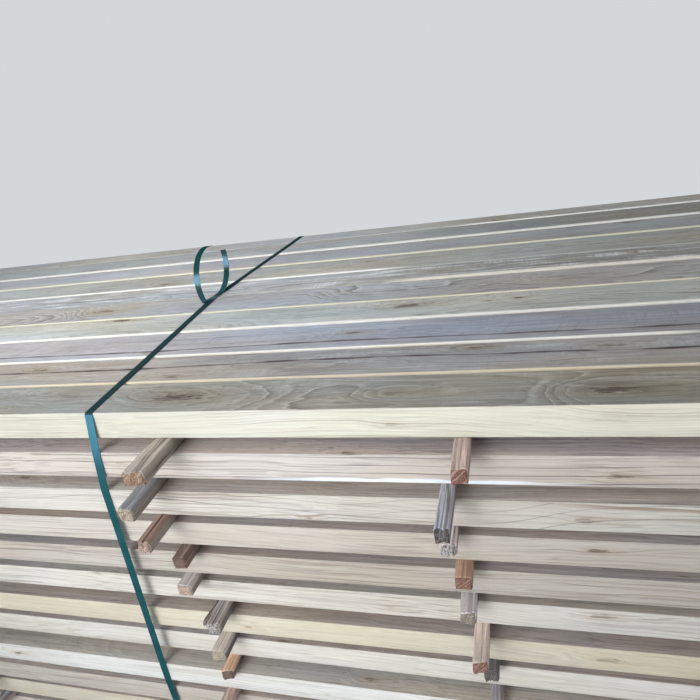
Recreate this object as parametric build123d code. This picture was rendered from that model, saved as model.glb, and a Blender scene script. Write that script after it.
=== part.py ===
"""A strapped pack of rough-sawn boards with rows of loose sticks between its courses.

Sizes are in millimetres. The origin is on the floor under the middle of the pack, +X runs along the
boards, +Y from the pack's front to its back, and +Z up.
"""
import math
import os
import random

from build123d import *

# The boards
BOARD_LENGTH = 3658.0
BOARD_THICKNESS = 52.0
THICKNESS_LOSS = 1.5
PACK_WIDTH = 1190.0
COURSES = 13
EDGE_EASING = 2.0
GAP_RANGE = (2.5, 5.5)
SAW_WANDER = 2.5
END_RAGGEDNESS = 14.0
BACK_RAGGEDNESS = 12.0
BOARDS_PER_COURSE = (9, 10, 11)
WIDTH_SHARES = (0.75, 1.3)
TOP_WIDTH_SHARES = (108, 116, 127, 119, 127, 112, 127, 129, 138, 87)

# How far each course stands back from the pack's front plane, from the top course down
FRONT_SETBACKS = (0.0, -8.5, -13.0, -4.0, 1.0, 8.0, -1.0, 7.0, -15.0, -10.0, 0.0, 5.0, -3.0)

# The loose sticks that keep the courses apart
STICK_HEIGHT = 26.0
STICK_WIDTH = 27.0
STICK_WIDTH_SPREAD = (-3.0, 5.0)
STICK_SPARE = 135.0
STICK_COLUMNS = 7
END_STICK_INSET = 62.0
MIDDLE_COLUMN_X = 252.5
STICK_SHORTEST_REACH = 25.0
STICK_SCATTER = 20.0
STICK_SKEW = 14.0
END_SLANT = 6.0

# The three columns that show, from the top stick down: how far each stick lies to the right of its
# column's line, how far its front end reaches out of the pack, and how much wider it is
COLUMN_3_STICKS = (
    (-12, 60, 0), (-25, 84, 2), (-8, 45, -1), (-20, 70, 1), (-28, 38, 0), (-15, 92, 3), (-24, 52, -2),
    (-27, 66, 1), (-26, 44, 0), (-32, 58, 2), (-30, 36, 0), (-18, 75, 1), (-10, 50, -1),
)
COLUMN_4_STICKS = (
    (26, 100, 13), (-20, 94, 4), (-18, 86, -1), (3, 41, 1), (-15, 33, 6), (32, 52, 2), (21, 50, 4),
    (13, 35, -2), (-4, 60, 0), (8, 72, 1), (-12, 45, -1), (5, 66, 2), (-6, 50, 0),
)
COLUMN_5_STICKS = (
    (27, 80, -1), (-1, 110, -4), (-4, 58, -1), (12, 43, 2), (13, 46, 1), (29, 73, 0), (41, 30, 0),
    (46, 25, -3), (2, 55, 1), (20, 64, 0), (5, 38, 2), (24, 70, -1), (10, 52, 0),
)
LISTED_STICKS = {3: COLUMN_3_STICKS, 4: COLUMN_4_STICKS, 5: COLUMN_5_STICKS}

# The plastic straps
STRAP_WIDTH = 16.0
STRAP_THICKNESS = 1.0
WELD_FROM_FRONT = 543.0
WELD_LENGTH = 72.0
WELD_RAMP = 22.0
CURL_RADIUS = 84.0
FRONT_TAIL = {"length": 205.0, "angle": 121.0, "curl": -1}
BACK_TAIL = {"length": 138.0, "angle": 6.0, "curl": 1}

# The column of sticks that each strap goes by and how far to its right, its share of the straying
# below, and how much further back its weld lies than the middle one's
STRAPS = {
    "strap_left": {"column": 1, "aside": 92.0, "straying": -0.35, "weld_shift": 130.0},
    "strap_middle": {"column": 4, "aside": -105.0, "straying": 1.0, "weld_shift": 0.0},
    "strap_right": {"column": STICK_COLUMNS, "aside": -92.0, "straying": 0.3, "weld_shift": -95.0},
}

# How far a strap strays sideways: over the top at its weld, and down the front at the underside of
# the course where it straightens and at the floor
STRAY_AT_WELD = -40.0
STRAY_BACK_TOP = 3.0
STRAY_UPPER_FRONT = -23.0
STRAY_FLOOR_FRONT = -74.0
STRAY_FLOOR_BACK = -30.0
STRAIGHTENS_AT_COURSE = 3
WELD_CROSSING = 9.0

# The random choices start from these
BACK_SEED = 100
STICK_SEED = 200

END_COLUMN_X = BOARD_LENGTH / 2 - END_STICK_INSET
COURSE_PITCH = BOARD_THICKNESS + STICK_HEIGHT
PACK_HEIGHT = COURSES * COURSE_PITCH
FRONT_PLANE = -PACK_WIDTH / 2
BACK_PLANE = PACK_WIDTH / 2


def column_line(column):
    """The x of a column of sticks, evenly spaced on each side of the middle one. Columns count from 1
    at the left."""
    middle = (STICK_COLUMNS + 1) / 2
    share = (column - middle) / (middle - 1)
    return MIDDLE_COLUMN_X * (1 - abs(share)) + END_COLUMN_X * share


def front_face(course):
    """Where the front face of a course stands. Courses count from 1 at the floor."""
    from_top = COURSES - course
    return FRONT_PLANE + FRONT_SETBACKS[from_top % len(FRONT_SETBACKS)]


def back_face(course):
    """Where the back face of a course stands."""
    if course == COURSES:
        return BACK_PLANE
    return BACK_PLANE + random.Random(BACK_SEED + course).uniform(-BACK_RAGGEDNESS, BACK_RAGGEDNESS)


def course_floor(course):
    """The level of the underside of a course's boards, which is the top of the sticks below."""
    return (course - 1) * COURSE_PITCH + STICK_HEIGHT


def prism(corners, height):
    """An upright prism on the plan corners, with its underside at z = 0."""
    outline = make_face(Polyline(*corners, close=True))
    return extrude(outline, height)


def board(front, back, left_end, right_end, thickness):
    """One rough board with its sharp edges eased. front and back hold the y of that edge at the left
    and at the right end."""
    corners = [
        (left_end, front[0]), (right_end, front[1]), (right_end, back[1]), (left_end, back[0]),
    ]
    blank = prism(corners, thickness)
    long_edges = [e for e in blank.edges() if e.length > BOARD_LENGTH / 2]
    return chamfer(long_edges, EDGE_EASING)


def joint_lines(course, shares, rng):
    """The gaps between the boards of a course: the two sides of each gap, at both of its ends."""
    start = front_face(course)
    room = back_face(course) - start
    lines = []
    run = 0.0
    for share in shares[:-1]:
        run += share
        middle = start + room * run / sum(shares)
        wander = rng.uniform(-SAW_WANDER, SAW_WANDER)
        half_gaps = [rng.uniform(*GAP_RANGE) / 2 for _ in range(2)]
        centres = (middle + wander, middle - wander)
        near = [c - g for c, g in zip(centres, half_gaps)]
        far = [c + g for c, g in zip(centres, half_gaps)]
        lines.append((near, far))
    return lines


def course_boards(course):
    """The boards of one course, side by side with open joints between them."""
    rng = random.Random(course)
    shares = TOP_WIDTH_SHARES
    if course < COURSES:
        shares = [rng.uniform(*WIDTH_SHARES) for _ in range(rng.choice(BOARDS_PER_COURSE))]
    lines = joint_lines(course, shares, rng)
    fronts = [(front_face(course),) * 2] + [far for _, far in lines]
    backs = [near for near, _ in lines] + [(back_face(course),) * 2]
    boards = []
    for place, (front, back) in enumerate(zip(fronts, backs)):
        # The outer boards are full size, so that the sticks above and the straps bear on them
        outer = place in (0, len(shares) - 1)
        loss = 0.0 if outer else rng.uniform(0, THICKNESS_LOSS)
        insets = [0.0 if place == 0 else rng.uniform(0, END_RAGGEDNESS) for _ in range(2)]
        left_end = insets[0] - BOARD_LENGTH / 2
        right_end = BOARD_LENGTH / 2 - insets[1]
        solid = board(front, back, left_end, right_end, BOARD_THICKNESS - loss)
        boards.append(Pos(0, 0, course_floor(course)) * solid)
    return boards


def loose_stick(line_x, reach, width, rng):
    """One stick across the pack. It lies a little askew, and its ends are cut out of square."""
    skew = rng.uniform(-STICK_SKEW, STICK_SKEW)
    slants = [rng.uniform(0, END_SLANT) for _ in range(2)]
    front = FRONT_PLANE - reach
    back = front + PACK_WIDTH + STICK_SPARE
    half = width / 2
    corners = [
        (line_x - half, front), (line_x + half, front + slants[0]),
        (line_x + skew + half, back), (line_x + skew - half, back - slants[1]),
    ]
    return prism(corners, STICK_HEIGHT)


def stick_column(column):
    """The sticks that lie one above another, one under each course."""
    rng = random.Random(STICK_SEED + column)
    line_x = column_line(column)
    listed = LISTED_STICKS.get(column, ())
    longest_reach = STICK_SPARE - STICK_SHORTEST_REACH
    sticks = []
    for from_top in range(COURSES):
        shift = rng.uniform(-STICK_SCATTER, STICK_SCATTER)
        reach = rng.uniform(STICK_SHORTEST_REACH, longest_reach)
        extra = rng.uniform(*STICK_WIDTH_SPREAD)
        if from_top < len(listed):
            shift, reach, extra = listed[from_top]
        stick = loose_stick(line_x + shift, reach, STICK_WIDTH + extra, rng)
        level = course_floor(COURSES - from_top) - STICK_HEIGHT
        sticks.append(Pos(0, 0, level) * stick)
    return sticks


def left_turn(a, b, c):
    """Positive where the way from a to b to c turns left."""
    return (b[0] - a[0]) * (c[1] - a[1]) - (b[1] - a[1]) * (c[0] - a[0])


def taut_side(points):
    """The points that a taut band touches on its way down past them. Those in line drop out too."""
    in_line = 1e-6
    kept = []
    for point in points:
        while len(kept) > 1 and left_turn(kept[-2], kept[-1], point) <= in_line:
            kept.pop()
        kept.append(point)
    return kept


def edge_points(course, face, inward):
    """The four points of a course's eased edges that a band can touch, from the floor up."""
    low = course_floor(course)
    high = low + BOARD_THICKNESS
    inner = face + inward * EDGE_EASING
    return [(inner, low), (face, low + EDGE_EASING), (face, high - EDGE_EASING), (inner, high)]


def front_route():
    """The (y, z) points where a strap bends on the front, from the top edge down to the bottom."""
    points = [p for c in range(1, COURSES + 1) for p in edge_points(c, front_face(c), 1)]
    return taut_side(points[::-1])


def back_route():
    """The same on the back, from the top edge down to the bottom edge."""
    points = [p for c in range(1, COURSES + 1) for p in edge_points(c, back_face(c), -1)]
    mirrored = taut_side([(-y, z) for y, z in points[::-1]])
    return [(-y, z) for y, z in mirrored]


def front_stray(z):
    """How far a strap has strayed sideways at a level of the pack's front."""
    bend_level = course_floor(COURSES + 1 - STRAIGHTENS_AT_COURSE)
    if z > bend_level:
        return STRAY_UPPER_FRONT * (PACK_HEIGHT - z) / (PACK_HEIGHT - bend_level)
    return STRAY_UPPER_FRONT + (STRAY_FLOOR_FRONT - STRAY_UPPER_FRONT) * (1 - z / bend_level)


def back_stray(z):
    """The same on the back."""
    return STRAY_BACK_TOP + (STRAY_FLOOR_BACK - STRAY_BACK_TOP) * (1 - z / PACK_HEIGHT)


def band(points):
    """A band whose inner face follows the (x, y, z) points, which go round the pack over the top,
    down the front and back underneath."""
    route = [Vector(0, y, z) for _, y, z in points]
    ways = [(b - a).normalized() for a, b in zip(route, route[1:])]
    outward = [Vector(0, w.Z, -w.Y) for w in ways]
    sections = []
    for place, (x, y, z) in enumerate(points):
        first = outward[max(place - 1, 0)]
        second = outward[min(place, len(outward) - 1)]
        mitre = (first + second) * (STRAP_THICKNESS / (1 + first.dot(second)))
        inner = Vector(x, y, z)
        aside = Vector(STRAP_WIDTH / 2, 0, 0)
        ring = [inner - aside, inner + aside, inner + aside + mitre, inner - aside + mitre]
        sections.append(make_face(Polyline(*ring, close=True)))
    return loft(sections, ruled=True)


def tail(x, y, z, way):
    """A strap's free end, which keeps the curl of the coil that it came from."""
    turn = math.degrees(way["length"] / CURL_RADIUS) * way["curl"]
    ahead = (math.cos(math.radians(way["angle"])), math.sin(math.radians(way["angle"])))
    aside = (-ahead[1] * way["curl"], ahead[0] * way["curl"])
    outer = JernArc((0, 0), ahead, CURL_RADIUS, turn)
    inner_start = (aside[0] * STRAP_THICKNESS, aside[1] * STRAP_THICKNESS)
    inner = JernArc(inner_start, ahead, CURL_RADIUS - STRAP_THICKNESS, turn)
    ends = [Line(outer @ 0, inner @ 0), Line(outer @ 1, inner @ 1)]
    profile = make_face([outer.edge(), inner.edge(), ends[0].edge(), ends[1].edge()])
    upright = Plane(origin=(x, y, z), x_dir=(0, 1, 0), z_dir=(1, 0, 0))
    return extrude(upright * profile, STRAP_WIDTH / 2, both=True)


def strap(column, aside, straying, weld_shift):
    """A strap round the pack. Its ends overlap in a weld on top, and both ends stand free."""
    top_x = column_line(column) + aside
    weld_front = FRONT_PLANE + WELD_FROM_FRONT + weld_shift
    weld_back = weld_front + WELD_LENGTH
    weld_x = top_x + straying * STRAY_AT_WELD
    bottom = course_floor(1)
    middle_x = top_x + straying * (STRAY_FLOOR_FRONT + STRAY_FLOOR_BACK) / 2
    lower = [(weld_x - WELD_CROSSING / 2, weld_back, PACK_HEIGHT), (weld_x, weld_front, PACK_HEIGHT)]
    lower += [(top_x + straying * front_stray(z), y, z) for y, z in front_route()]
    lower.append((middle_x, 0, bottom))
    raised = PACK_HEIGHT + STRAP_THICKNESS
    upper = [(weld_x - WELD_CROSSING, weld_front, raised), (weld_x, weld_back, raised)]
    upper.append((weld_x + WELD_CROSSING / 4, weld_back + WELD_RAMP, PACK_HEIGHT))
    upper += [(top_x + straying * back_stray(z), y, z) for y, z in back_route()]
    upper.append((middle_x, 0, bottom))
    halves = band(lower) + band(upper[::-1])
    front_tail = tail(upper[0][0], weld_front, raised, FRONT_TAIL)
    back_tail = tail(weld_x, weld_back, raised, BACK_TAIL)
    return halves + front_tail + back_tail


def write(name, solids):
    """Write one node's solids as one file."""
    export_step(Compound(label=name, children=solids), f"parts/{name}.step")


os.makedirs("parts", exist_ok=True)
for course_number in range(1, COURSES + 1):
    write(f"course_{course_number:02d}", course_boards(course_number))
for column_number in range(1, STICK_COLUMNS + 1):
    write(f"stick_column_{column_number}", stick_column(column_number))
for strap_name, place in STRAPS.items():
    write(strap_name, strap(**place).solids())
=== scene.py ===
import math
import random
from functools import partial

import bmesh
import bpy
from mathutils import Matrix, Vector


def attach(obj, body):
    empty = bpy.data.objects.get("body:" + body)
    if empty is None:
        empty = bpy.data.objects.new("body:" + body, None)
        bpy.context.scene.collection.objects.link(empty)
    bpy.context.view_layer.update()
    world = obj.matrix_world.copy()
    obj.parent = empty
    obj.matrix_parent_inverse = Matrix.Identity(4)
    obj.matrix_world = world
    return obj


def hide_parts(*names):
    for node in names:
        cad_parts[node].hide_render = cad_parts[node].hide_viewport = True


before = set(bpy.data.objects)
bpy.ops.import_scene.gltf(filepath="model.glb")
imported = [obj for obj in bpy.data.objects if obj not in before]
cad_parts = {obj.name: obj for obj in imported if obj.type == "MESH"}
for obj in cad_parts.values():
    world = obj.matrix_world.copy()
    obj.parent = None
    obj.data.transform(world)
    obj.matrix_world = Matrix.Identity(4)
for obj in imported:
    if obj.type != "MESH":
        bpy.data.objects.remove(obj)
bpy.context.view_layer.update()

# Sawn boards, course on course. Each is rough hardwood straight off the saw, two inches thick and as
# wide as the log gave, laid side by side with an open joint. The wide faces have weathered grey, and
# the narrow edges are still the cream of fresh sapwood.

WEATHERED = {
    "olive": (0.335, 0.330, 0.300),
    "brown": (0.365, 0.340, 0.315),
    "lavender": (0.425, 0.425, 0.462),
    "moss": (0.460, 0.468, 0.435),
    "lilac": (0.405, 0.398, 0.395),
    "silver": (0.425, 0.420, 0.405),
    "dun": (0.395, 0.397, 0.370),
    "rose": (0.720, 0.630, 0.600),
    "sheltered": (0.520, 0.455, 0.415),
    "sheltered olive": (0.540, 0.495, 0.440),
    "sheltered pale": (0.610, 0.555, 0.500),
}
FRESH = {
    "cream": (0.665, 0.655, 0.565),
    "ivory": (0.645, 0.612, 0.552),
    "sand": (0.590, 0.542, 0.478),
    "yellow": (0.640, 0.590, 0.470),
    "pink": (0.632, 0.578, 0.532),
    "beige": (0.520, 0.475, 0.415),
    "white": (0.685, 0.655, 0.600),
    "bluish": (0.710, 0.705, 0.670),
    "pale tan": (0.780, 0.690, 0.520),
    "pale yellow": (0.780, 0.750, 0.590),
    "bare white": (0.860, 0.840, 0.780),
    "bare cream": (0.800, 0.765, 0.670),
}
# The top course from the front board to the back one: its face, its front arris, and from where to
# where and how widely that arris is worn back to fresh wood
TOP_BOARDS = (
    ("olive", "cream", (-1.0, 9.0, 0.0010)),
    ("brown", "pale tan", (-1.0, 9.0, 0.0065)),
    ("lavender", "bare white", (-1.0, 2.92, 0.0062)),
    ("moss", "bare white", (-1.0, 9.0, 0.0095)),
    ("lilac", "pale yellow", (-1.0, 9.0, 0.0070)),
    ("silver", "bare cream", (2.42, 9.0, 0.0160)),
    ("dun", "bare white", (-1.0, 2.38, 0.0090)),
    ("lilac", "pale yellow", (-1.0, 9.0, 0.0115)),
    ("dun", "bare white", (-1.0, 9.0, 0.0180)),
    ("silver", "bare white", (2.50, 9.0, 0.0110)),
)
# The front edges from the top course down, how streaky and how lined with rings each is, the painted
# light or shade that it comes to towards its right end, and the tint of its board's top
FRONT_EDGES = (
    ("cream", 0.15, 0.75, 1.28, "olive"),
    ("pink", 0.95, 0.35, 0.92, "rose"),
    ("ivory", 0.60, 1.3, 0.90, "sheltered pale"),
    ("sand", 0.60, 0.80, 0.84, "sheltered"),
    ("beige", 1.0, 1.2, 0.90, "sheltered"),
    ("white", 0.90, 0.9, 0.91, "sheltered olive"),
    ("yellow", 0.20, 0.35, 1.0, "sheltered"),
    ("white", 0.35, 0.4, 1.0, "sheltered"),
    ("bluish", 0.40, 0.5, 1.0, "sheltered olive"),
    ("beige", 0.50, 0.6, 1.0, "sheltered"),
    ("yellow", 0.35, 0.5, 1.0, "sheltered"),
    ("pink", 0.40, 0.5, 1.0, "sheltered olive"),
    ("cream", 0.30, 0.5, 1.0, "sheltered"),
)
# Where the lower arris of a front edge shows a pale bluish band: from, to and how high
EDGE_PALE_ARRIS = {2: (2.24, 2.82, 0.0075)}
# A stretch that begins past the end of any timber
NOWHERE = (9.0, 9.0, 0.001)
# Dark lines side by side along a front edge: the lowest one's height, how far they wander, how far
# apart they run and how dark they are
EDGE_LINES = {
    2: (0.010, 0.015, 0.0145, 0.80),
    3: (0.012, 0.050, 0.022, 0.70),
    5: (0.040, 0.030, 0.030, 0.5),
}
NO_EDGE_LINES = (0.0, 0.0, 1.0, 0.0)
# Knots as distance along, distance across, reach and darkness, in each board of the top course
TOP_KNOTS = (
    ((1.86, 0.062, 0.030, 0.25), (2.115, 0.050, 0.034, 1.0), (2.506, 0.044, 0.018, 0.6),
     (2.814, 0.041, 0.026, 0.9)),
    ((2.051, 0.022, 0.012, 0.7), (1.698, 0.078, 0.014, 0.8), (2.614, 0.095, 0.016, 0.9),
     (2.824, 0.080, 0.02, 0.5)),
    ((2.372, 0.071, 0.014, 0.9), (1.93, 0.020, 0.010, 0.6)),
    ((1.719, 0.105, 0.022, 0.9), (2.458, 0.076, 0.030, 0.8), (2.636, 0.072, 0.007, 1.0),
     (2.695, 0.078, 0.009, 1.0)),
    ((1.601, 0.067, 0.026, 0.7), (2.36, 0.060, 0.040, 0.0), (2.791, 0.060, 0.030, 0.2)),
    ((2.946, 0.081, 0.014, 0.9), (2.50, 0.060, 0.02, 0.5)),
    ((1.673, 0.034, 0.018, 0.8), (2.30, 0.080, 0.014, 0.7)),
    ((2.984, 0.110, 0.012, 1.0),),
    ((2.997, 0.062, 0.012, 0.8),),
    ((2.637, 0.016, 0.012, 0.9),),
)
# A dark mineral line: how far across it runs, how far it wanders, its half width and its darkness
TOP_LINES = {
    2: (0.067, 0.014, 0.0030, 1.0),
    3: (0.030, 0.010, 0.0028, 0.9),
    6: (0.041, 0.008, 0.002, 0.6),
}
NO_LINE = (0.0, 0.0, 0.001, 0.0)
# How scratched, how chalky and how strongly figured each board of the top course is, then the painted
# shade that it falls to towards its right end and how brown that painted shade turns there
TOP_MARKS = (
    (0.0, 0.25, 1.2, 0.93, 1.0), (0.3, 0.4, 0.6, 0.90, 0.0), (1.0, 0.25, 0.25, 0.64, 0.0),
    (0.1, 0.2, 1.2, 0.98, 0.2), (0.1, 0.2, 1.5, 0.90, 0.0), (0.0, 1.8, 0.6, 0.72, 0.0),
    (0.5, 0.4, 0.6, 0.94, 0.0), (0.1, 0.2, 0.3, 0.88, 0.5), (0.1, 0.2, 0.6, 0.68, 0.0),
    (0.1, 0.2, 0.5, 0.9, 0.0),
)
# The same of every board that another lies over
SHELTERED_MARKS = (0.0, 0.2, 0.35, 1.05, 0.0)
# Knots in the front edges, with the height from the underside as their second number
EDGE_KNOTS = {
    1: ((2.506, 0.024, 0.010, 0.35), (2.813, 0.032, 0.022, 0.15)),
    2: ((2.826, 0.018, 0.014, 0.6), (2.01, 0.030, 0.010, 0.3)),
    3: ((2.783, 0.020, 0.014, 0.5), (2.345, 0.005, 0.006, 0.8)),
    4: ((2.796, 0.034, 0.010, 0.8), (1.56, 0.030, 0.008, 0.7)),
    6: ((2.804, 0.039, 0.016, 0.5), (2.455, 0.020, 0.010, 0.3)),
    7: ((2.814, 0.026, 0.018, 0.45), (2.155, 0.020, 0.008, 0.6)),
    9: ((1.517, 0.026, 0.010, 0.8), (2.30, 0.020, 0.010, 0.2)),
}
# The most knots that a wide face and a narrow edge can show, and one that lies far off the timber
WIDE_KNOTS = 5
NARROW_KNOTS = 2
NO_KNOT = (-9.0, -9.0, 0.01, 0.0)
# The colour that each mark brings the wood to, and the painted warm shade. The last six are washes that
# only tinge it.
MARKS = {
    "weathered ring": (0.130, 0.110, 0.090),
    "pale ring": (0.620, 0.610, 0.550),
    "chalk": (0.640, 0.640, 0.650),
    "scratch": (0.140, 0.120, 0.130),
    "open pore": (0.110, 0.090, 0.080),
    "weathered hairline": (0.150, 0.120, 0.110),
    "mineral line": (0.070, 0.043, 0.048),
    "opened grain": (0.075, 0.058, 0.050),
    "silvered grain": (0.560, 0.530, 0.490),
    "greyer stretch": (0.520, 0.480, 0.440),
    "fresh ring": (0.330, 0.260, 0.200),
    "lilac streak": (0.270, 0.205, 0.205),
    "fresh hairline": (0.200, 0.155, 0.135),
    "edge line": (0.120, 0.085, 0.080),
    "bare sapwood": (0.840, 0.870, 0.930),
    "ring cut across": (0.160, 0.100, 0.070),
    "dragged fibres": (0.600, 0.480, 0.410),
    "knot": (0.080, 0.055, 0.045),
    "round a knot": (0.80, 0.66, 0.46),
    "painted_warm_shade": (1.0, 0.945, 0.850),
    "warmer": (1.07, 1.0, 0.90),
    "cooler": (0.95, 1.0, 1.08),
    "faintly warmer": (1.02, 1.0, 0.965),
    "faintly cooler": (0.99, 0.995, 1.02),
}
# Rows of corners along, across and up a board, and the length that a chance knot can lie in
BOARD_CUTS = (48, 8, 6)
BOARD_REACH = 3.6


def feed(tree, socket, value):
    """Links a socket to another, or sets it to a plain value."""
    if isinstance(value, bpy.types.NodeSocket):
        tree.links.new(value, socket)
    else:
        socket.default_value = value


def feed_all(tree, node, **inputs):
    """Feeds a node's inputs, which are named as in the editor with _ for a space. Gives the node."""
    for name, value in inputs.items():
        feed(tree, node.inputs[name.replace("_", " ")], value)
    return node


def new_node(tree, kind, settings=None, **inputs):
    """A node with its settings and its inputs."""
    node = tree.nodes.new(kind)
    for name, value in (settings or {}).items():
        setattr(node, name, value)
    return feed_all(tree, node, **inputs)


def new_tree(name, kind, inputs, outputs):
    """A node tree with its sockets. Gives the tree, what it is given and its output node."""
    tree = bpy.data.node_groups.new(name, kind)
    for in_out, sockets in (("INPUT", inputs), ("OUTPUT", outputs)):
        for socket_name, socket_kind in sockets.items():
            tree.interface.new_socket(socket_name, in_out=in_out, socket_type="NodeSocket" + socket_kind)
    return tree, tree.nodes.new("NodeGroupInput").outputs, tree.nodes.new("NodeGroupOutput")


def new_material(name):
    """A material, with its node tree and its shader."""
    material = bpy.data.materials.new(name)
    material.use_nodes = True
    return material, material.node_tree, material.node_tree.nodes["Principled BSDF"]


def new_object(name, data):
    """An object that stands in the scene."""
    made = bpy.data.objects.new(name, data)
    bpy.context.collection.objects.link(made)
    return made


def sums(tree, operation, *values):
    """A sum on numbers or sockets, such as ADD, MULTIPLY or GREATER_THAN. Gives its socket."""
    node = new_node(tree, "ShaderNodeMath", {"operation": operation})
    for place, value in enumerate(values):
        feed(tree, node.inputs[place], value)
    return node.outputs[0]


def times(tree, a, b):
    """One number or socket times another."""
    return sums(tree, "MULTIPLY", a, b)


def plus(tree, a, b):
    """One number or socket and another, added up."""
    return sums(tree, "ADD", a, b)


def minus(tree, a, b):
    """One number or socket less another."""
    return sums(tree, "SUBTRACT", a, b)


def vectors(tree, operation, *values):
    """A sum on vectors or sockets. Gives its socket, which is a number for LENGTH."""
    node = new_node(tree, "ShaderNodeVectorMath", {"operation": operation})
    for place, value in enumerate(values):
        feed(tree, node.inputs[place], value)
    return node.outputs["Value" if operation == "LENGTH" else "Vector"]


def scaled(tree, vector, factor):
    """A vector made longer or shorter."""
    node = new_node(tree, "ShaderNodeVectorMath", {"operation": "SCALE"}, Scale=factor)
    feed(tree, node.inputs[0], vector)
    return node.outputs[0]


def mapped(tree, value, low, high, to_low=0.0, to_high=1.0, kind="LINEAR"):
    """A number carried from one range to another, held at the ends."""
    node = new_node(tree, "ShaderNodeMapRange", {"interpolation_type": kind})
    for socket, given in zip(node.inputs, (value, low, high, to_low, to_high)):
        feed(tree, socket, given)
    return node.outputs[0]


def joined(tree, x, y, z):
    """A vector put together from three numbers or sockets."""
    return new_node(tree, "ShaderNodeCombineXYZ", X=x, Y=y, Z=z).outputs[0]


def split(tree, vector):
    """The three numbers of a vector."""
    return new_node(tree, "ShaderNodeSeparateXYZ", Vector=vector).outputs


def noise(tree, vector, detail=1.0):
    """Smooth noise from 0 to 1, as fine as the vector, or its three numbers, are stretched."""
    vector = joined(tree, *vector) if isinstance(vector, tuple) else vector
    return new_node(tree, "ShaderNodeTexNoise", Vector=vector, Scale=1.0, Detail=detail).outputs[0]


def between(tree, kind, share, a, b, blend="MIX"):
    """The value that share of the way from a to b. The kind is VECTOR or RGBA."""
    first, result = {"VECTOR": (4, 1), "RGBA": (6, 2)}[kind]
    node = new_node(tree, "ShaderNodeMix", {"data_type": kind, "blend_type": blend})
    for place, value in ((0, share), (first, a), (first + 1, b)):
        feed(tree, node.inputs[place], value)
    return node.outputs[result]


def read_back(tree, name, kind="FLOAT"):
    """A value stored on the mesh, read inside a geometry tree."""
    return new_node(tree, "GeometryNodeInputNamedAttribute", {"data_type": kind}, Name=name).outputs[0]


def eased_rows(tree, share, rows, easing, length, kind="LINEAR"):
    """Evenly spaced rows from 0 to 1, respaced so that the second and the last but one lie only the
    easing from their end. The others are even, or closer towards the ends."""
    step = 1.0 / (rows - 1)
    near = sums(tree, "DIVIDE", easing, length)
    inner = mapped(tree, share, step, 1.0 - step, near, minus(tree, 1.0, near), kind)
    is_first = sums(tree, "LESS_THAN", share, 0.001)
    is_last = sums(tree, "GREATER_THAN", share, 0.999)
    is_inner = minus(tree, minus(tree, 1.0, is_first), is_last)
    return plus(tree, times(tree, inner, is_inner), is_last)


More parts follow.
